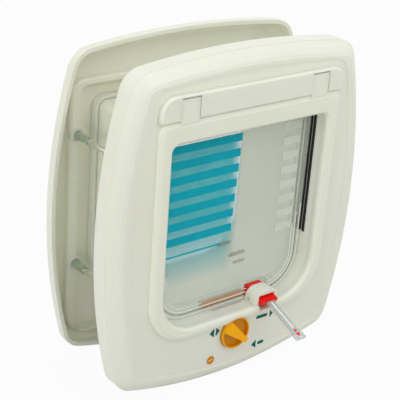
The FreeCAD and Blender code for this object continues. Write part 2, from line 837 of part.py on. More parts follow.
def make_flap_panel():
    body = new_body("flap_panel")
    rim = size("flap_rim")
    thick = size("flap_rim_thickness")
    sink = (thick - size("flap_sheet")) / 2
    front = flap_front()
    outline = flap_box()
    rounded_pad(body, "Blank", front - thick, outline, (size("flap_sill_corner"), size("flap_corner")), thick)
    doc.recompute()
    left, right, bottom, top = outline
    inner = (left + rim, right - rim, bottom + size("flap_rib"), top - size("flap_top_rim"))
    radii = (size("flap_sill_corner") - rim, size("field_corner"))
    rounded_pocket(body, "FrontField", front, inner, radii, sink)
    rounded_pocket(body, "BackField", front - thick, inner, radii, sink, reverse=True)
    # knuckle round the axle, on a neck as thick as the sheet
    half = size("knuckle_length") / 2
    box_pad(body, "Neck", front - thick + sink, (-half, half, top - size("flap_top_rim"),
            size("hinge_height")), size("flap_sheet"))
    round_pad(body, "Knuckle", -half, hinge_place(), size("knuckle_radius"), half * 2, "YZ_Plane")
    doc.recompute()
    round_pocket(body, "AxleBore", half, hinge_place(), size("axle_radius") + size("axle_fit"), half * 2,
                 "YZ_Plane")
    # notch that clears the hood of the indicator
    middle = size("rocker_centre")
    reach = size("hood_width") / 2 + size("notch_play")
    corner = size("notch_corner")
    rounded_pocket(body, "Notch", front, (middle - reach, middle + reach, -size("flap_bottom") - corner * 2,
                   -size("notch_height")), (corner, corner), thick)
    # pocket in the rib for the magnet, open at the back
    fit = size("magnet_fit")
    left, right, bottom, top = magnet_box(magnet_height())
    box_pocket(body, "MagnetPocket", front - thick, (left - fit, right + fit, bottom - fit, top + fit),
               size("magnet_thickness") + fit, reverse=True)
    return body


def magnet_height():
    """Height of the middle of the magnet: halfway up the rib of the flap."""
    return -size("flap_bottom") + size("flap_rib") / 2


def magnet_box(middle):
    half = size("magnet_length") / 2
    across = -size("magnet_centre")
    rise = size("magnet_height") / 2
    return (across - half, across + half, middle - rise, middle + rise)


def make_flap_magnet():
    body = new_body("flap_magnet")
    back = flap_front() - size("flap_rim_thickness")
    box_pad(body, "Bar", back, magnet_box(magnet_height()), size("magnet_thickness"))
    return body


def make_sill_magnet():
    """The keeper under the sill, between the two lock cams."""
    body = new_body("sill_magnet")
    half = size("magnet_length") / 2
    across = -size("magnet_centre")
    top = -size("opening_bottom") - size("tunnel_wall")
    front = cam_in_front() - size("cam_thickness") - size("cam_gap")
    depth = front - cam_out_front() - size("cam_gap")
    box_pad(body, "Bar", front - depth, (across - half, across + half, top - size("keeper_height"), top), depth)
    return body


def stripe_heights(count):
    """Height of the middle of each printed stripe, from the top."""
    return [size("stripe_first") - size("stripe_pitch") * number for number in range(count)]


def make_flap_stripes():
    """Stripes that get shorter downwards, printed on the flap from its left rim, and a thin last line."""
    body = new_body("flap_stripes")
    left = -size("flap_width") / 2 + size("flap_rim")
    sheet_front = flap_front() - (size("flap_rim_thickness") - size("flap_sheet")) / 2
    rise = size("stripe_height") / 2
    sketch = new_sketch(body, "StripeOutline", sheet_front)
    heights = stripe_heights(STRIPES + 1)
    for number, middle in enumerate(heights[:-1]):
        right = size("stripe_right") - size("stripe_slant") * number
        draw_polygon(sketch, [(left, middle - rise), (right, middle - rise), (right, middle + rise),
                              (left, middle + rise)])
    low = heights[-1] - size("thin_stripe_height") / 2
    high = heights[-1] + size("thin_stripe_height") / 2
    end = size("stripe_right") - size("thin_stripe_cut")
    draw_polygon(sketch, [(left, low), (end, low), (end + size("thin_stripe_height"), high), (left, high)])
    pad(body, "Print", sketch, size("print_thickness"))
    return body


def make_flap_pale_stripes():
    """Pale stripes on the right of the flap, in line with the others."""
    body = new_body("flap_pale_stripes")
    right = size("flap_width") / 2 - size("flap_rim")
    sheet_front = flap_front() - (size("flap_rim_thickness") - size("flap_sheet")) / 2
    rise = size("stripe_height") / 2
    sketch = new_sketch(body, "StripeOutline", sheet_front)
    for middle in stripe_heights(STRIPES + 1):
        draw_polygon(sketch, [(size("pale_left"), middle - rise), (right, middle - rise),
                              (right, middle + rise), (size("pale_left"), middle + rise)])
    pad(body, "Print", sketch, size("print_thickness"))
    return body


def make_seal(label, side):
    """A soft draught strip on the wall of the tunnel beside the flap."""
    body = new_body(label)
    half = size("opening_width") / 2
    thick = size("strip_thickness")
    start = half - thick if side > 0 else -half
    middle = -size("hinge_front")
    reach = size("strip_depth") / 2
    sketch = new_sketch(body, "StripOutline", start, "YZ_Plane")
    draw_rounded(sketch, middle - reach, middle + reach, -size("strip_bottom"), size("strip_top"),
                 size("strip_round"), size("strip_round"))
    pad(body, "Strip", sketch, thick)
    return body


def knob_back():
    """Depth of the back of the knob, a little off its seat."""
    return size("frame_depth") - size("panel_sink") - size("knob_seat") + size("knob_lift")


def make_knob():
    """A dished knob with a wedge across it, drawn with the wedge level and then turned to its mark."""
    body = new_body("knob")
    centre = (as_size(0), as_size(0))
    back = knob_back()
    floor = back + size("knob_disc")
    rim = floor + size("knob_rim")
    nose = size("grip_nose")
    tail = -size("grip_tail")
    wide = size("grip_tail_width") / 2
    narrow = size("grip_nose_width") / 2
    top = rim + size("grip_rise")
    sketch = new_sketch(body, "GripOutline", 0, "XY_Plane")
    draw_polygon(sketch, [(tail, -back), (nose, -back), (nose, -top), (tail, -rim)])
    pad(body, "Grip", sketch, wide * 2, midplane=True)
    for side, name in ((-1, "LowerSide"), (1, "UpperSide")):
        sketch = new_sketch(body, name + "Outline", top)
        draw_polygon(sketch, [(tail, wide * side), (nose, narrow * side), (nose, wide * side)])
        pocket(body, name, sketch, top - back)
    round_pad(body, "Disc", back, centre, size("knob_radius"), size("knob_disc"))
    sketch = new_sketch(body, "RimOutline", floor)
    draw_circle(sketch, *centre, size("knob_radius"))
    draw_circle(sketch, *centre, size("knob_radius") - size("knob_rim_width"))
    pad(body, "Rim", sketch, size("knob_rim"))
    doc.recompute()
    round_pocket(body, "ShaftSocket", back + size("socket_depth"), centre,
                 size("shaft_radius") + size("shaft_seat"), size("socket_depth"))
    turn = size("grip_angle")
    body.Placement = FreeCAD.Placement(V(0, 0, -size("knob_drop").value),
                                       FreeCAD.Rotation(V(0, 1, 0), turn.value))
    body.setExpression("Placement.Base.z", (-size("knob_drop")).text)
    body.setExpression("Placement.Rotation.Angle", turn.text)
    return body


def make_knob_shaft():
    body = new_body("knob_shaft")
    end = size("shaft_end")
    round_pad(body, "Shaft", end, (as_size(0), -size("knob_drop")), size("shaft_radius"),
              knob_back() + size("socket_depth") - size("shaft_seat") - end)
    return body


def make_cam(label, front, lobe_turns):
    """A lock cam: a disc on the shaft with narrow lobes that reach up through the sill."""
    body = new_body(label)
    thick = size("cam_thickness")
    drop = -size("knob_drop")
    place = (as_size(0), drop)
    half = size("lobe_width") / 2
    reach = size("cam_reach")
    round_pad(body, "Disc", front - thick, place, size("cam_radius"), thick)
    for number, (along, up) in enumerate(lobe_turns, start=1):
        corners = [(0, -half), (reach, -half), (reach, half), (0, half)]
        turned = [(as_size(a) * along - as_size(b) * up, as_size(a) * up + as_size(b) * along + drop)
                  for a, b in corners]
        sketch = new_sketch(body, "Lobe%dOutline" % number, front - thick)
        draw_polygon(sketch, turned)
        pad(body, "Lobe%d" % number, sketch, thick)
    doc.recompute()
    round_pocket(body, "ShaftBore", front, place, size("shaft_radius") + size("shaft_seat"), thick)
    return body


def make_knob_clip():
    """A push-on washer that keeps the shaft in its bore."""
    body = new_body("knob_clip")
    front = cam_out_front() - size("cam_thickness")
    place = (as_size(0), -size("knob_drop"))
    round_pad(body, "Washer", front - size("clip_thickness"), place, size("clip_radius"), size("clip_thickness"))
    doc.recompute()
    round_pocket(body, "ShaftBore", front, place, size("shaft_radius") + size("shaft_seat"),
                 size("clip_thickness"))
    return body


def pivot_place():
    """The pivot of the indicator on a sketch that looks along X."""
    return (-size("pivot_front"), -size("pivot_drop"))


def make_indicator_hood():
    body = new_body("indicator_hood")
    middle = size("rocker_centre")
    half = size("hood_width") / 2
    slot = size("rocker_width") / 2 + size("rocker_play")
    back = size("hood_back")
    thick = size("hood_front") - back
    sill = -size("opening_bottom")
    top = -size("hood_top")
    corner = size("hood_round")
    box_pad(body, "Arch", back, (middle - half, middle + half, sill, top), thick)
    doc.recompute()
    arch = body.Tip
    shoulders = find_edges(arch, lambda edge: abs(edge.BoundBox.ZMin - top.value) < 1e-4
                           and edge.BoundBox.XLength < 1e-4)
    round_edges(body, "ArchRound", arch, shoulders, corner)
    box_pocket(body, "Passage", back + thick, (middle - slot, middle + slot, sill - size("hood_thickness"),
               top - size("hood_thickness")), thick)
    round_pocket(body, "PinBore", middle + half, pivot_place(), size("pin_radius") + size("pin_fit"),
                 half * 2, "YZ_Plane")
    return body


def make_indicator_pin():
    body = new_body("indicator_pin")
    half = size("hood_width") / 2 - size("rocker_play")
    round_pad(body, "Pin", size("rocker_centre") - half, pivot_place(), size("pin_radius"), half * 2, "YZ_Plane")
    return body


def make_indicator_rocker():
    """The tipping block: the flap's path behind, the pivot in the middle and the nose in front."""
    body = new_body("indicator_rocker")
    start = size("rocker_centre") - size("rocker_width") / 2
    sketch = new_sketch(body, "BlockOutline", start, "YZ_Plane")
    pivot_across, pivot_up = pivot_place()
    outline = [(pivot_across + size(side + "_across"), pivot_up + size(side + "_up")) for side in ROCKER_CORNERS]
    draw_polygon(sketch, outline)
    pad(body, "Block", sketch, size("rocker_width"))
    doc.recompute()
    round_pocket(body, "PinBore", start + size("rocker_width"), pivot_place(),
                 size("pin_radius") + size("pin_fit"), size("rocker_width"), "YZ_Plane")
    return body


def make_indicator_pointer():
    """The clear pointer, drawn level from its root and then tilted down."""
    body = new_body("indicator_pointer")
    half = size("pointer_width") / 2
    long = size("pointer_length")
    tip = size("pointer_tip_width") / 2
    tip_start = long - size("pointer_tip_length")
    thick = size("pointer_thickness")
    sketch = new_sketch(body, "BladeOutline", -thick / 2, "XY_Plane")
    draw_polygon(sketch, [(-half, -tip_start), (-half, 0), (half, 0), (half, -tip_start), (tip, -tip_start - half),
                          (tip, -long), (-tip, -long), (-tip, -tip_start - half)])
    pad(body, "Blade", sketch, thick)
    place = V(size("rocker_centre").value, -size("pointer_root").value, -size("pivot_drop").value)
    slope = size("pointer_slope")
    body.Placement = FreeCAD.Placement(place, FreeCAD.Rotation(V(1, 0, 0), slope.value))
    body.setExpression("Placement.Base.x", size("rocker_centre").text)
    body.setExpression("Placement.Base.y", (-size("pointer_root")).text)
    body.setExpression("Placement.Base.z", (-size("pivot_drop")).text)
    body.setExpression("Placement.Rotation.Angle", slope.text)
    return body


def rear_box(grow):
    """The passage through the rear tunnel, which slides over the front one."""
    return tunnel_box(size("tunnel_wall") + size("tunnel_fit") + grow)


def rear_radii(grow):
    return tunnel_radii(size("tunnel_wall") + size("tunnel_fit") + grow)


def turn_to_the_rear(body):
    """The outdoor side is drawn like the indoor side and turned to face the other way."""
    body.Placement = FreeCAD.Placement(V(0, size("door_gap").value, 0), FreeCAD.Rotation(V(0, 0, 1), 180))
    body.setExpression("Placement.Base.y", size("door_gap").text)


def make_rear_frame():
    body = new_body("rear_frame")
    depth = size("rear_depth")
    frame_shell(body, depth, size("rear_skirt"), size("rear_cut"))
    screw_bosses(body, depth)
    face_ring(body, depth, rear_box(as_size(0)), rear_radii(as_size(0)))
    for number, (across, up) in enumerate(screw_places(), start=1):
        bore = size("nut_radius") + size("screw_fit")
        round_pocket(body, "NutBore%d" % number, depth, (across, up), bore, depth)
        mouth = size("boss_setback") + size("nut_mouth_depth")
        round_pocket(body, "NutMouth%d" % number, mouth, (across, up), bore + size("nut_mouth_gap"), mouth)
    turn_to_the_rear(body)
    return body


def make_rear_tunnel():
    body = new_body("rear_tunnel")
    wall = size("tunnel_wall")
    deep = size("rear_depth") - size("shell_wall")
    start = size("ridge_setback")
    rounded_pad(body, "Tube", start, rear_box(wall), rear_radii(wall), deep - start)
    doc.recompute()
    rounded_pocket(body, "Passage", deep, rear_box(as_size(0)), rear_radii(as_size(0)), deep)
    turn_to_the_rear(body)
    return body


def make_screws():
    """Four screws from the indoor bosses through the door, thicker between the bosses and the nuts."""
    body = new_body("screws")
    head = size("screw_head_front")
    under_head = head - size("screw_head_height")
    shank_front = size("boss_setback") - size("shank_clear")
    shank_back = size("nut_reach") - size("shank_clear")
    for number, (across, up) in enumerate(screw_places(), start=1):
        round_pad(body, "Head%d" % number, under_head, (across, up), size("screw_head_radius"),
                  size("screw_head_height"))
        round_pad(body, "Core%d" % number, under_head - size("screw_length"), (across, up),
                  size("screw_core_radius"), size("screw_length"))
        round_pad(body, "Shank%d" % number, -shank_back, (across, up), size("screw_radius"),
                  shank_front + shank_back)
    return body


def make_sleeve_nuts():
    """Four long flanged nuts that come through the outdoor frame and take the ends of the screws."""
    body = new_body("sleeve_nuts")
    face = size("door_gap") + size("rear_depth")
    flange = size("nut_flange_height")
    for number, (across, up) in enumerate(screw_places(), start=1):
        round_pad(body, "Flange%d" % number, -face - flange, (across, up), size("nut_flange_radius"), flange)
        round_pad(body, "Sleeve%d" % number, -face, (across, up), size("nut_radius"), face - size("nut_reach"))
    doc.recompute()
    for number, (across, up) in enumerate(screw_places(), start=1):
        round_pocket(body, "Thread%d" % number, -size("nut_reach"), (across, up),
                     size("screw_core_radius") + size("screw_fit"), face - size("nut_reach"))
    return body


# quarter turns of the lobes, as the cosine and sine of their direction from +X
CLOSED_LOBE = (1, 0)
OUT_LOBE = (-1, 0)
IN_LOBE = (0, -1)

BODIES = [
    make_front_frame(),
    make_front_tunnel(),
    make_hinge_cover(),
    make_hinge_axle(),
    make_hinge_bush("hinge_bush_left", -1),
    make_hinge_bush("hinge_bush_right", 1),
    make_flap_panel(),
    make_flap_magnet(),
    make_sill_magnet(),
    make_flap_stripes(),
    make_flap_pale_stripes(),
    make_seal("seal_left", -1),
    make_seal("seal_right", 1),
    make_knob(),
    make_knob_shaft(),
    make_cam("lock_cam_in", cam_in_front(), (CLOSED_LOBE, OUT_LOBE)),
    make_cam("lock_cam_out", cam_out_front(), (CLOSED_LOBE, IN_LOBE)),
    make_knob_clip(),
    make_indicator_hood(),
    make_indicator_rocker(),
    make_indicator_pointer(),
    make_indicator_pin(),
    make_rear_frame(),
    make_rear_tunnel(),
    make_screws(),
    make_sleeve_nuts(),
]
doc.recompute()

for item in doc.Objects:
    if "Invalid" in item.State or "Error" in item.State:
        sys.exit("%s failed: %s" % (item.Label, item.State))
for body in BODIES:
    shape = body.Shape
    if shape.isNull() or not shape.isValid() or shape.Volume <= 0:
        sys.exit("%s has no valid solid" % body.Label)
    print(body.Label, len(shape.Solids), round(shape.Volume, 1))
    shape.exportStep(os.path.join("parts", body.Label + ".step"))
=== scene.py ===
"""Looks of the cat flap: materials, printed marks, seal strips, rim lines, camera, floor and lights."""

import math

import bmesh
import bpy
from mathutils import Matrix, Vector


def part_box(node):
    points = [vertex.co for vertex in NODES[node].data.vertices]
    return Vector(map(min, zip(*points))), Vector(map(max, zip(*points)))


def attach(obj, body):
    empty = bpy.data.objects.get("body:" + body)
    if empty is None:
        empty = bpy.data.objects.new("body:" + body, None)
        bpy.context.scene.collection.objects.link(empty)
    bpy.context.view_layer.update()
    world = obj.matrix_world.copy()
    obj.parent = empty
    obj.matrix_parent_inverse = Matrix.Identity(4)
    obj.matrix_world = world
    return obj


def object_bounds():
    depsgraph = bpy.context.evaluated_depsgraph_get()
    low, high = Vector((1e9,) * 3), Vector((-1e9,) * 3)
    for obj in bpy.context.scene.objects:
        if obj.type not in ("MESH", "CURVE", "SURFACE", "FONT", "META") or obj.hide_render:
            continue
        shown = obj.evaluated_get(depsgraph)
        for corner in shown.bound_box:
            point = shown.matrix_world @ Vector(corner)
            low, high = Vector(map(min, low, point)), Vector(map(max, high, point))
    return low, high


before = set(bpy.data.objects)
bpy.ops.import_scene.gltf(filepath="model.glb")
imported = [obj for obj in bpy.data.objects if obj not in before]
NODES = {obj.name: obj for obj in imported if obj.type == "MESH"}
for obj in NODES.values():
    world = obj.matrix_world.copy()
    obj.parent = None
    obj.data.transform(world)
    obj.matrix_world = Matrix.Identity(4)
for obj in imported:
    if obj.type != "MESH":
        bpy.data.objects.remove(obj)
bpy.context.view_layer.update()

MM = 0.001

# Camera: turned about the object, raised above it and rolled a little
CAMERA_TURN = 0.69527
CAMERA_RISE = 0.41887
CAMERA_ROLL = 0.07418
CAMERA_DISTANCE = 0.83644
CAMERA_TARGET = Vector((-0.000106, 0.030, -0.001829))
FOCAL_PIXELS = 1142.14
IMAGE_PIXELS = 400
SENSOR_MM = 36.0

# Printed marks on the panel: the depth of their front and their thickness, in mm
MARK_FRONT = -19.56
PRINT_THICKNESS = 0.05

# Depth of the sheet of painted reflection and shadow of the teal stripes and of the painted shadow dashes on
# the flap, and the thickness of such sheets
REFLECTION_SHEET_FRONT = -7.06
SHADOW_DASH_FRONT = -7.12
FILM_THICKNESS = 0.04

# Painted reflection and shadow of the teal stripes: where it is clear and where it is full, across and up,
# in mm
REFLECTION_FADE_ACROSS = (4.5, -6.0)
REFLECTION_FADE_UP = (-44.0, 8.0)
REFLECTION_STRENGTH = 0.66
REFLECTION_CORNER = (6.0, 14.0)

# Collars in the mouths of the outdoor bosses: radius and depth round the profile, in mm
COLLAR_PROFILE = [(4.2, 60.2), (4.0, 59.75), (3.3, 59.6), (3.05, 59.8), (3.05, 62.4), (4.2, 62.4)]
COLLAR_SIDES = 32
SLEEVE_FLANGE_RADIUS = 4.6

# Lines on the clear rim of the flap, which end at both sides of the hood, in mm
RIM_LINE_DEPTH = -8.1
RIM_LINE_ENDS = {"left": 18.6, "right": 38.4}
RIM_CORNER_STEPS = 16
FLAP_SILL_CORNER = 28.0

# Pocket of the magnet: its lines and the plate in front of it, in mm
MAGNET_LINE_DEPTH = -8.12
MAGNET_LINE_RADIUS = 0.3
MAGNET_SIDE_MARGIN = 0.6
MAGNET_END_MARGIN = 0.5
MAGNET_PLATE_INSET = 2.0
MAGNET_PLATE_HEIGHT = 4.0

# The clear pointer leaves the rocker here, in mm, and slopes down by this many degrees
POINTER_ROOT = (28.0, -25.5, -68.6)
POINTER_SLOPE = 20.0
POINTER_MARK_LIFT = 0.92

# Strips beside the brushes: front and back depth of each, how far they stand out and slope, in mm
SEAL_BANDS = {"front": (-11.4, -8.6), "middle": (-2.6, -1.1), "back": (0.9, 2.4)}
SEAL_BAND_HEIGHT = 0.6
SEAL_BAND_SHOULDER = 0.45
SEAL_BAND_SLOPE = 0.3
SEAL_BAND_SINK = 0.02

# Depth of the knob's rim and of its dished face, in mm, between which the yellow darkens as painted shade
KNOB_RIM_DEPTH = -22.6
KNOB_DISH_DEPTH = -20.0

# How white the floor looks; the rest of it shows the light and the shadow
FLOOR_WHITE = 0.95
FLOOR_REACH = 6.0

WORLD_STRENGTH = 0.75


def linear(red, green, blue):
    """A colour given as it looks on a screen, from 0 to 255, as linear light."""
    def channel(level):
        level = level / 255
        if level <= 0.04045:
            return level / 12.92
        return ((level + 0.055) / 1.055) ** 2.4
    return (channel(red), channel(green), channel(blue), 1.0)


def new_material(name):
    """A material with nodes, its shader and its node tree."""
    material = bpy.data.materials.new(name)
    material.use_nodes = True
    tree = material.node_tree
    return material, tree, tree.nodes["Principled BSDF"]


def add_grain(tree, shader, scale, strength, distance=0.0002):
    """A fine moulded grain as bump."""
    place = tree.nodes.new("ShaderNodeTexCoord")
    noise = tree.nodes.new("ShaderNodeTexNoise")
    noise.inputs["Scale"].default_value = scale
    noise.inputs["Detail"].default_value = 4.0
    bump = tree.nodes.new("ShaderNodeBump")
    bump.inputs["Strength"].default_value = strength
    bump.inputs["Distance"].default_value = distance
    tree.links.new(place.outputs["Object"], noise.inputs["Vector"])
    tree.links.new(noise.outputs["Fac"], bump.inputs["Height"])
    tree.links.new(bump.outputs["Normal"], shader.inputs["Normal"])


def vary_roughness(tree, shader, scale, low, high):
    """Roughness that changes softly over the surface."""
    place = tree.nodes.new("ShaderNodeTexCoord")
    noise = tree.nodes.new("ShaderNodeTexNoise")
    noise.inputs["Scale"].default_value = scale
    noise.inputs["Detail"].default_value = 3.0
    span = tree.nodes.new("ShaderNodeMapRange")
    span.inputs["To Min"].default_value = low
    span.inputs["To Max"].default_value = high
    tree.links.new(place.outputs["Object"], noise.inputs["Vector"])
    tree.links.new(noise.outputs["Fac"], span.inputs["Value"])
    tree.links.new(span.outputs["Result"], shader.inputs["Roughness"])


def vary_colour(tree, shader, scale, first, second):
    """A base colour that drifts between two near shades."""
    place = tree.nodes.new("ShaderNodeTexCoord")
    noise = tree.nodes.new("ShaderNodeTexNoise")
    noise.inputs["Scale"].default_value = scale
    noise.inputs["Detail"].default_value = 2.0
    ramp = tree.nodes.new("ShaderNodeValToRGB")
    ramp.color_ramp.elements[0].position = 0.35
    ramp.color_ramp.elements[1].position = 0.65
    ramp.color_ramp.elements[0].color = first
    ramp.color_ramp.elements[1].color = second
    tree.links.new(place.outputs["Object"], noise.inputs["Vector"])
    tree.links.new(noise.outputs["Fac"], ramp.inputs["Fac"])
    tree.links.new(ramp.outputs["Color"], shader.inputs["Base Color"])


def ivory_material():
    """Satin ivory plastic that lets a little light through."""
    material, tree, shader = new_material("ivory_plastic")
    vary_colour(tree, shader, 9.0, linear(235, 236, 220), linear(237, 239, 224))
    vary_roughness(tree, shader, 30.0, 0.34, 0.44)
    add_grain(tree, shader, 2600.0, 0.12)
    shader.inputs["IOR"].default_value = 1.52
    shader.inputs["Subsurface Weight"].default_value = 0.4
    shader.inputs["Subsurface Radius"].default_value = (1.0, 0.95, 0.75)
    shader.inputs["Subsurface Scale"].default_value = 0.006
    return material


def clear_material(name, colour, through, edge, roughness):
    """Clear plastic that doesn't bend the view: faint face on, denser along its surface."""
    material, tree, shader = new_material(name)
    shader.inputs["Base Color"].default_value = colour
    shader.inputs["IOR"].default_value = 1.49
    facing = tree.nodes.new("ShaderNodeLayerWeight")
    facing.inputs["Blend"].default_value = 0.35
    span = tree.nodes.new("ShaderNodeMapRange")
    span.inputs["To Min"].default_value = through
    span.inputs["To Max"].default_value = edge
    tree.links.new(facing.outputs["Facing"], span.inputs["Value"])
    tree.links.new(span.outputs["Result"], shader.inputs["Alpha"])
    vary_roughness(tree, shader, 25.0, roughness, roughness + 0.05)
    add_grain(tree, shader, 60.0, 0.06, 0.0004)
    return material


def print_material(name, first, second, alpha):
    """Ink, a little uneven."""
    material, tree, shader = new_material(name)
    vary_colour(tree, shader, 120.0, first, second)
    shader.inputs["Specular IOR Level"].default_value = 0.12
    vary_roughness(tree, shader, 200.0, 0.35, 0.55)
    shader.inputs["Alpha"].default_value = alpha
    return material


def plastic_material(name, first, second, low, high, grain):
    """Satin coloured plastic, with a roughness between low and high."""
    material, tree, shader = new_material(name)
    shader.inputs["Specular IOR Level"].default_value = 0.22
    vary_colour(tree, shader, 60.0, first, second)
    vary_roughness(tree, shader, 90.0, low, high)
    add_grain(tree, shader, grain, 0.15)
    return material


def yellow_painted_shade_material():
    """Yellow plastic with painted shade: darker in the dished face of the knob than on its rim and grip."""
    material, tree, shader = new_material("yellow_plastic")
    place = tree.nodes.new("ShaderNodeTexCoord")
    axes = tree.nodes.new("ShaderNodeSeparateXYZ")
    depth = tree.nodes.new("ShaderNodeMapRange")
    depth.inputs["From Min"].default_value = KNOB_RIM_DEPTH * MM
    depth.inputs["From Max"].default_value = KNOB_DISH_DEPTH * MM
    # Painted shade: bright yellow at the rim's depth, darker yellow at the dish's depth
    ramp = tree.nodes.new("ShaderNodeValToRGB")
    ramp.color_ramp.elements[0].color = linear(252, 176, 0)
    ramp.color_ramp.elements[1].color = linear(208, 136, 0)
    tree.links.new(place.outputs["Object"], axes.inputs[0])
    tree.links.new(axes.outputs["Y"], depth.inputs["Value"])
    tree.links.new(depth.outputs["Result"], ramp.inputs["Fac"])
    tree.links.new(ramp.outputs["Color"], shader.inputs["Base Color"])
    shader.inputs["Specular IOR Level"].default_value = 0.2
    vary_roughness(tree, shader, 90.0, 0.35, 0.45)
    add_grain(tree, shader, 1800.0, 0.15)
    return material


def teal_reflection_material():
    """Painted reflection and shadow of the teal stripes, seen between them, which fades downwards and to the
    right.
    """
    material, tree, shader = new_material("teal_painted_reflection")
    vary_colour(tree, shader, 90.0, linear(44, 184, 196), linear(54, 190, 200))
    vary_roughness(tree, shader, 120.0, 0.35, 0.5)
    shader.inputs["Specular IOR Level"].default_value = 0.12
    place = tree.nodes.new("ShaderNodeTexCoord")
    axes = tree.nodes.new("ShaderNodeSeparateXYZ")
    tree.links.new(place.outputs["Object"], axes.inputs[0])
    fades = []
    for axis, (clear_end, full_end) in (("X", REFLECTION_FADE_ACROSS), ("Z", REFLECTION_FADE_UP)):
        fade = tree.nodes.new("ShaderNodeMapRange")
        fade.inputs["From Min"].default_value = clear_end * MM
        fade.inputs["From Max"].default_value = full_end * MM
        tree.links.new(axes.outputs[axis], fade.inputs["Value"])
        fades.append(fade.outputs["Result"])
    both = tree.nodes.new("ShaderNodeMath")
    both.operation = "MULTIPLY"
    span = tree.nodes.new("ShaderNodeMapRange")
    span.inputs["To Max"].default_value = REFLECTION_STRENGTH
    tree.links.new(fades[0], both.inputs[0])
    tree.links.new(fades[1], both.inputs[1])
    tree.links.new(both.outputs[0], span.inputs["Value"])
    tree.links.new(span.outputs["Result"], shader.inputs["Alpha"])
    return material


def metal_material(name, first, second, low, high):
    """Bright metal with a fine grain, with a roughness between low and high."""
    material, tree, shader = new_material(name)
    vary_colour(tree, shader, 300.0, first, second)
    vary_roughness(tree, shader, 500.0, low, high)
    shader.inputs["Metallic"].default_value = 1.0
    add_grain(tree, shader, 3000.0, 0.2, 0.0001)
    return material


def brush_material():
    """Black pile of the draught strips."""
    material, tree, shader = new_material("black_brush")
    vary_colour(tree, shader, 900.0, linear(12, 13, 14), linear(30, 31, 33))
    vary_roughness(tree, shader, 700.0, 0.75, 0.95)
    add_grain(tree, shader, 2500.0, 0.8, 0.0005)
    return material


IVORY = ivory_material()
CLEAR = clear_material("clear_plastic", linear(222, 230, 218), 0.17, 0.75, 0.06)
POINTER = clear_material("clear_pointer", linear(196, 204, 200), 0.4, 0.9, 0.08)
TEAL = print_material("teal_print", linear(0, 164, 184), linear(4, 170, 190), 0.99)
PALE = print_material("pale_print", linear(236, 240, 230), linear(240, 244, 234), 0.56)
# Yellow plastic with painted shade in the knob's dish
YELLOW = yellow_painted_shade_material()
RED = plastic_material("red_plastic", linear(236, 16, 0), linear(240, 22, 2), 0.3, 0.4, 1800.0)
MAGNET = plastic_material("magnet", linear(176, 140, 106), linear(200, 168, 134), 0.4, 0.6, 900.0)
STEEL = metal_material("steel", linear(222, 226, 222), linear(238, 240, 236), 0.2, 0.32)
ZINC = metal_material("zinc_steel", linear(186, 200, 188), linear(206, 216, 204), 0.3, 0.42)
# Painted reflection and shadow of the teal stripes, as a fading teal sheet
TEAL_REFLECTION = teal_reflection_material()
MARK = print_material("mark_print", linear(8, 92, 88), linear(16, 100, 96), 1.0)
ORANGE = print_material("orange_print", linear(206, 130, 18), linear(212, 138, 26), 1.0)
LIGHT_ORANGE = print_material("light_orange_print", linear(250, 196, 120), linear(252, 202, 130), 1.0)
# Painted highlights: bright lines on the clear rim, and the bright spot and rib of the pointer
GLINT = clear_material("clear_painted_glint", linear(252, 253, 250), 0.8, 1.0, 0.1)
TAN = print_material("tan_print", linear(220, 172, 130), linear(226, 180, 140), 0.5)
# Painted shadow: faint brown dashes on the flap
SOFT_SHADOW = print_material("soft_painted_shadow", linear(140, 128, 106), linear(148, 136, 114), 0.2)
SHADE = clear_material("clear_shade", linear(84, 86, 78), 0.55, 0.9, 0.2)
BRUSH = brush_material()

FINISH = {
    "front_frame": IVORY,
    "front_tunnel": IVORY,
    "rear_frame": IVORY,
    "rear_tunnel": IVORY,
    "hinge_cover": IVORY,
    "indicator_hood": IVORY,
    "hinge_bush_left": IVORY,
    "hinge_bush_right": IVORY,
    "hinge_axle": STEEL,
    "indicator_pin": STEEL,
    "screws": STEEL,
    "sleeve_nuts": ZINC,
    "knob_clip": STEEL,
    "flap_panel": CLEAR,
    "indicator_pointer": POINTER,
    "flap_stripes": TEAL,
    "flap_pale_stripes": PALE,
    "flap_magnet": MAGNET,
    "sill_magnet": MAGNET,
    "seal_left": BRUSH,
    "seal_right": BRUSH,
    "knob": YELLOW,
    "knob_shaft": YELLOW,
    "lock_cam_in": YELLOW,
    "lock_cam_out": YELLOW,
    "indicator_rocker": RED,
}


def finish_nodes():
    """Give each CAD node its material."""
    for name, material in FINISH.items():
        mesh = NODES[name].data
        mesh.materials.clear()
        mesh.materials.append(material)


def add_piece(name, mesh, material, body):
    """Put a mesh or curve in the scene as a piece that rides on a body."""
    piece = bpy.data.objects.new(name, mesh)
    bpy.context.scene.collection.objects.link(piece)
    mesh.materials.append(material)
    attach(piece, body)
    return piece


def box_mm(node):
    """The low and the high corner of a CAD node's box, in mm."""
    low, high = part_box(node)
    return [value / MM for value in low], [value / MM for value in high]


def finished_mesh(name, form):
    """Make a mesh of a form, with its faces turned outwards."""
    bmesh.ops.recalc_face_normals(form, faces=form.faces)
    mesh = bpy.data.meshes.new(name)
    form.to_mesh(mesh)
    form.free()
    return mesh


def extruded(name, corners, front, thickness, place=None):
    """A flat shape that faces the room, its corners given across and up in mm, its front at this depth."""
    form = bmesh.new()
    ring = [form.verts.new((across * MM, front * MM, up * MM)) for across, up in corners]
    face = form.faces.new(ring)
    pushed = bmesh.ops.extrude_face_region(form, geom=[face])
    moved = [item for item in pushed["geom"] if isinstance(item, bmesh.types.BMVert)]
    bmesh.ops.translate(form, verts=moved, vec=(0.0, thickness * MM, 0.0))
    if place is not None:
        bmesh.ops.transform(form, matrix=place, verts=form.verts)
    return finished_mesh(name, form)


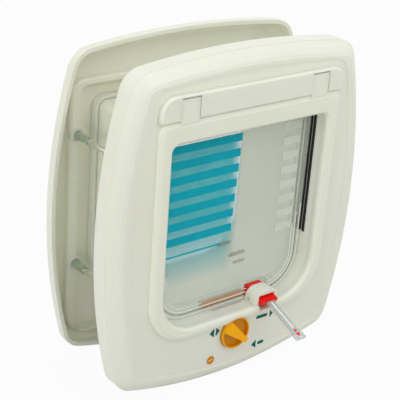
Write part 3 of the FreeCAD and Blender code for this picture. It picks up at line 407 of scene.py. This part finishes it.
def round_corners(centre, radius, count=32):
    """Corners of a round shape."""
    across, up = centre
    turns = [2 * math.pi * number / count for number in range(count)]
    return [(across + radius * math.cos(turn), up + radius * math.sin(turn)) for turn in turns]


def bar_corners(start, end, thickness, count=8):
    """Corners of a bar with round ends between two places."""
    half = thickness / 2
    lean = math.atan2(end[1] - start[1], end[0] - start[0])
    corners = []
    for (across, up), first in ((end, lean - math.pi / 2), (start, lean + math.pi / 2)):
        for number in range(count + 1):
            turn = first + math.pi * number / count
            corners.append((across + half * math.cos(turn), up + half * math.sin(turn)))
    return corners


def add_print(name, corners, front, thickness, material, body):
    """A flat printed shape as a piece of its own."""
    mesh = extruded(name, corners, front, thickness)
    return add_piece(name, mesh, material, body)


def make_marks():
    """Arrows, plain bars and a disc with a dash round the knob, printed on the panel."""
    shapes = {
        "mark_both_left": [(-23.2, -83.2), (-18.9, -87.2), (-18.9, -79.8)],
        "mark_both_right": [(-13.6, -83.0), (-17.3, -79.6), (-17.3, -86.8)],
        "mark_out_arrow": [(34.4, -80.3), (34.4, -86.3), (37.6, -83.4)],
        "mark_in_arrow": [(18.7, -105.6), (23.1, -109.3), (23.1, -102.1)],
        "mark_out_bar": bar_corners((22.4, -83.0), (30.8, -83.1), 2.6),
        "mark_in_bar": bar_corners((26.0, -105.9), (29.6, -105.7), 2.6),
    }
    for name, corners in shapes.items():
        add_print(name, corners, MARK_FRONT, PRINT_THICKNESS, MARK, "frame")
    disc = round_corners((-20.3, -105.9), 3.4)
    add_print("mark_disc", disc, MARK_FRONT, PRINT_THICKNESS, ORANGE, "frame")
    dash = bar_corners((-21.7, -106.1), (-18.9, -105.7), 1.1)
    dash_front = MARK_FRONT - PRINT_THICKNESS
    add_print("mark_dash", dash, dash_front, PRINT_THICKNESS, LIGHT_ORANGE, "frame")


def make_painted_reflection():
    """A sheet behind the printed stripes with their painted reflection and shadow, which gives the teal haze
    between them.
    """
    low, high = box_mm("flap_stripes")
    left, top = low[0], high[2]
    right, bottom = REFLECTION_FADE_ACROSS[0], REFLECTION_FADE_UP[0]
    corner_across, corner_up = REFLECTION_CORNER
    corners = [
        (left, bottom + corner_up),
        (left + corner_across, bottom),
        (right, bottom),
        (right, top),
        (left, top),
    ]
    add_print("flap_painted_reflection", corners, REFLECTION_SHEET_FRONT, FILM_THICKNESS, TEAL_REFLECTION, "flap")


def collar_mesh(name, centre):
    """A smooth ring about a sleeve, its centre given across and up in mm."""
    form = bmesh.new()
    rings = []
    for radius, depth in COLLAR_PROFILE:
        corners = round_corners(centre, radius, COLLAR_SIDES)
        rings.append([form.verts.new((across * MM, depth * MM, up * MM)) for across, up in corners])
    for first, second in zip(rings, rings[1:] + rings[:1]):
        for step in range(COLLAR_SIDES):
            after = (step + 1) % COLLAR_SIDES
            face = form.faces.new((first[step], first[after], second[after], second[step]))
            face.smooth = True
    return finished_mesh(name, form)


def make_collars():
    """Short collars that close the mouths of the outdoor bosses round the sleeves."""
    low, high = box_mm("sleeve_nuts")
    number = 0
    for across in (low[0] + SLEEVE_FLANGE_RADIUS, high[0] - SLEEVE_FLANGE_RADIUS):
        for up in (low[2] + SLEEVE_FLANGE_RADIUS, high[2] - SLEEVE_FLANGE_RADIUS):
            number += 1
            name = "boss_collar_%d" % number
            add_piece(name, collar_mesh(name, (across, up)), IVORY, "frame")


def line_piece(name, points, radius, material, body):
    """A thin round line through these points, given in mm."""
    curve = bpy.data.curves.new(name, "CURVE")
    curve.dimensions = "3D"
    curve.bevel_depth = radius * MM
    curve.bevel_resolution = 2
    curve.use_fill_caps = True
    spline = curve.splines.new("POLY")
    spline.points.add(len(points) - 1)
    for point, (across, depth, up) in zip(spline.points, points):
        point.co = (across * MM, depth * MM, up * MM, 1.0)
    return add_piece(name, curve, material, body)


def rim_path(side, inset, start_up, end_across):
    """Down one side of the flap's rim, round its lower corner and along its foot."""
    low, high = box_mm("flap_panel")
    reach = high[0] - inset
    foot = low[2] + inset
    radius = FLAP_SILL_CORNER - inset
    points = [(side * reach, RIM_LINE_DEPTH, start_up)]
    for number in range(RIM_CORNER_STEPS + 1):
        turn = math.pi / 2 * number / RIM_CORNER_STEPS
        across = side * (reach - radius + radius * math.cos(turn))
        up = foot + radius - radius * math.sin(turn)
        points.append((across, RIM_LINE_DEPTH, up))
    points.append((end_across, RIM_LINE_DEPTH, foot))
    return points


def make_rim_lines():
    """Bright and dark lines where the edges of the clear rim catch the light."""
    lines = (
        ("outer", 0.9, 0.42, GLINT, -4.0),
        ("middle", 3.2, 0.2, SHADE, -14.0),
        ("bead", 4.8, 0.36, GLINT, -10.0),
        ("inner", 7.7, 0.26, GLINT, -18.0),
    )
    for name, inset, radius, material, start_up in lines:
        for side_name, side in (("left", -1), ("right", 1)):
            points = rim_path(side, inset, start_up, RIM_LINE_ENDS[side_name])
            piece = "rim_line_%s_%s" % (side_name, name)
            line_piece(piece, points, radius, material, "flap")


def make_magnet_lines():
    """Brown edges of the pocket that holds the magnet and the magnet's glow through the plastic."""
    low, high = box_mm("flap_magnet")
    left = low[0] - MAGNET_SIDE_MARGIN
    right = high[0] + MAGNET_SIDE_MARGIN
    for name, up in (("low", low[2] - MAGNET_END_MARGIN), ("high", high[2] + MAGNET_END_MARGIN)):
        points = [(left, MAGNET_LINE_DEPTH, up), (right, MAGNET_LINE_DEPTH, up)]
        line_piece("magnet_line_" + name, points, MAGNET_LINE_RADIUS, MAGNET, "flap")
    middle = (low[2] + high[2]) / 2
    start = (left + MAGNET_PLATE_INSET, middle)
    end = (right - MAGNET_PLATE_INSET, middle)
    plate = bar_corners(start, end, MAGNET_PLATE_HEIGHT)
    add_print("magnet_plate", plate, RIM_LINE_DEPTH, FILM_THICKNESS, TAN, "flap")


def make_shadow_dashes():
    """Faint brown dashes of painted shadow to the right of the thin stripe and under it."""
    dashes = (
        ((-11.0, -20.0), (-1.0, -20.0), 3.0),
        ((1.0, -31.0), (13.0, -31.0), 3.4),
        ((5.0, -38.0), (14.0, -38.0), 2.4),
    )
    for number, (start, end, thickness) in enumerate(dashes):
        name = "flap_dash_%d" % (number + 1)
        corners = bar_corners(start, end, thickness)
        add_print(name, corners, SHADOW_DASH_FRONT, FILM_THICKNESS, SOFT_SHADOW, "flap")


def make_pointer_marks():
    """Red dash and arrow and a white spot of painted highlight at the end of the clear pointer, and a
    painted highlight along its middle rib.
    """
    turn = Matrix.Rotation(math.radians(POINTER_SLOPE), 4, "X")
    root = Matrix.Translation(Vector(POINTER_ROOT) * MM)
    flat = Matrix.Rotation(math.radians(90.0), 4, "X")
    place = root @ turn @ flat
    shapes = (
        ("pointer_dash", [(-0.8, 31.6), (0.8, 31.6), (0.8, 29.0), (-0.8, 29.0)], RED, "red_plastic"),
        ("pointer_arrow", [(0.0, 36.2), (1.9, 32.8), (-1.9, 32.8)], RED, "red_plastic"),
        ("pointer_spot", round_corners((0.0, 37.1), 0.6, 16), GLINT, "clear_plastic"),
        ("pointer_rib", bar_corners((0.0, 2.0), (0.0, 27.5), 1.5), GLINT, "clear_plastic"),
    )
    for name, corners, material, slot in shapes:
        mesh = extruded(name, corners, POINTER_MARK_LIFT, PRINT_THICKNESS, place)
        add_piece(name, mesh, material, "indicator")


def band_mesh(name, side, wall, front, back, low_up, high_up):
    """An upright strip with a raised middle on a wall of the tunnel, in mm."""
    shoulder = wall - SEAL_BAND_SHOULDER
    outline = [
        (wall, front),
        (shoulder, front + SEAL_BAND_SLOPE),
        (wall - SEAL_BAND_HEIGHT, (front + back) / 2),
        (shoulder, back - SEAL_BAND_SLOPE),
        (wall, back),
    ]
    form = bmesh.new()
    ends = []
    for up in (low_up, high_up):
        ends.append([form.verts.new((side * across * MM, depth * MM, up * MM)) for across, depth in outline])
    foot, head = ends
    for number in range(len(outline)):
        after = (number + 1) % len(outline)
        form.faces.new((foot[number], foot[after], head[after], head[number]))
    form.faces.new(foot)
    form.faces.new(head)
    return finished_mesh(name, form)


def make_seal_bands():
    """Low black strips beside the brushes on both walls of the tunnel."""
    for side, side_name in ((-1, "left"), (1, "right")):
        low, high = box_mm("seal_" + side_name)
        wall = max(abs(low[0]), abs(high[0])) - SEAL_BAND_SINK
        for name, (front, back) in SEAL_BANDS.items():
            piece = "seal_band_%s_%s" % (side_name, name)
            mesh = band_mesh(piece, side, wall, front, back, low[2], high[2])
            add_piece(piece, mesh, BRUSH, "frame")


def camera_axes():
    """Right, up and back of the camera."""
    flat = math.cos(CAMERA_RISE)
    view = Vector((math.sin(CAMERA_TURN) * flat, math.cos(CAMERA_TURN) * flat, -math.sin(CAMERA_RISE)))
    level = Vector((math.cos(CAMERA_TURN), -math.sin(CAMERA_TURN), 0.0))
    upright = level.cross(view)
    right = level * math.cos(CAMERA_ROLL) + upright * math.sin(CAMERA_ROLL)
    up = upright * math.cos(CAMERA_ROLL) - level * math.sin(CAMERA_ROLL)
    return right, up, -view


def make_camera():
    """The camera at the photograph's viewing angle."""
    right, up, back = camera_axes()
    data = bpy.data.cameras.new("camera")
    data.sensor_width = SENSOR_MM
    data.lens = FOCAL_PIXELS / IMAGE_PIXELS * SENSOR_MM
    camera = bpy.data.objects.new("camera", data)
    turn = Matrix((right, up, back)).transposed().to_4x4()
    camera.matrix_world = Matrix.Translation(CAMERA_TARGET + back * CAMERA_DISTANCE) @ turn
    bpy.context.scene.collection.objects.link(camera)
    bpy.context.scene.camera = camera


def background_rays(tree):
    """1 for the rays that show a background: from the camera, off gloss or through clear plastic."""
    path = tree.nodes.new("ShaderNodeLightPath")
    direct = tree.nodes.new("ShaderNodeMath")
    direct.operation = "MAXIMUM"
    seen = tree.nodes.new("ShaderNodeMath")
    seen.operation = "MAXIMUM"
    tree.links.new(path.outputs["Is Camera Ray"], direct.inputs[0])
    tree.links.new(path.outputs["Is Transmission Ray"], direct.inputs[1])
    tree.links.new(direct.outputs[0], seen.inputs[0])
    tree.links.new(path.outputs["Is Glossy Ray"], seen.inputs[1])
    return seen.outputs[0]


def make_floor():
    """A wide white floor under the object, which keeps a little of the object's shadow."""
    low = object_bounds()[0][2]
    mesh = bpy.data.meshes.new("floor")
    reach = FLOOR_REACH
    corners = [(-reach, -reach, low), (reach, -reach, low), (reach, reach, low), (-reach, reach, low)]
    mesh.from_pydata(corners, [], [(0, 1, 2, 3)])
    floor = bpy.data.objects.new("floor", mesh)
    bpy.context.scene.collection.objects.link(floor)
    material, tree, shader = new_material("floor")
    shader.inputs["Base Color"].default_value = linear(206, 206, 202)
    shader.inputs["Roughness"].default_value = 0.9
    white = tree.nodes.new("ShaderNodeEmission")
    white.inputs["Strength"].default_value = 1.0
    share = tree.nodes.new("ShaderNodeMath")
    share.operation = "MULTIPLY"
    share.inputs[1].default_value = FLOOR_WHITE
    mix = tree.nodes.new("ShaderNodeMixShader")
    tree.links.new(background_rays(tree), share.inputs[0])
    tree.links.new(share.outputs[0], mix.inputs["Fac"])
    tree.links.new(shader.outputs[0], mix.inputs[1])
    tree.links.new(white.outputs[0], mix.inputs[2])
    tree.links.new(mix.outputs[0], tree.nodes["Material Output"].inputs["Surface"])
    mesh.materials.append(material)


def make_world():
    """Even white light, and plain white where a ray shows the background."""
    world = bpy.data.worlds.new("world")
    world.use_nodes = True
    tree = world.node_tree
    light = tree.nodes["Background"]
    light.inputs["Color"].default_value = (1.0, 1.0, 1.0, 1.0)
    light.inputs["Strength"].default_value = WORLD_STRENGTH
    white = tree.nodes.new("ShaderNodeBackground")
    white.inputs["Color"].default_value = (1.0, 1.0, 1.0, 1.0)
    white.inputs["Strength"].default_value = 1.0
    mix = tree.nodes.new("ShaderNodeMixShader")
    tree.links.new(background_rays(tree), mix.inputs["Fac"])
    tree.links.new(light.outputs[0], mix.inputs[1])
    tree.links.new(white.outputs[0], mix.inputs[2])
    tree.links.new(mix.outputs[0], tree.nodes["World Output"].inputs["Surface"])
    bpy.context.scene.world = world


def add_lamp(name, place, target, size, watts):
    """A soft square lamp that points at a place."""
    data = bpy.data.lights.new(name, "AREA")
    data.shape = "SQUARE"
    data.size = size
    data.energy = watts
    lamp = bpy.data.objects.new(name, data)
    direction = Vector(target) - Vector(place)
    turn = direction.to_track_quat("-Z", "Y").to_matrix().to_4x4()
    lamp.matrix_world = Matrix.Translation(Vector(place)) @ turn
    bpy.context.scene.collection.objects.link(lamp)


def make_lamps():
    """Soft studio lamps: place, target, size and strength of each."""
    add_lamp("front_left", (-1.3, -1.0, 0.3), (0, 0.03, 0), 1.0, 0.8)
    add_lamp("left", (-1.55, -0.28, 0.3), (0, 0.03, 0), 0.8, 4.6)
    add_lamp("near_top", (0.15, -0.45, 0.62), (0.05, 0, 0.1), 0.4, 0.95)
    add_lamp("top", (0.0, -0.1, 1.6), (0, 0, 0), 1.0, 2.0)


finish_nodes()
make_marks()
make_painted_reflection()
make_collars()
make_rim_lines()
make_magnet_lines()
make_shadow_dashes()
make_pointer_marks()
make_seal_bands()
make_camera()
make_floor()
make_world()
make_lamps()
bpy.context.scene.view_settings.view_transform = "Standard"
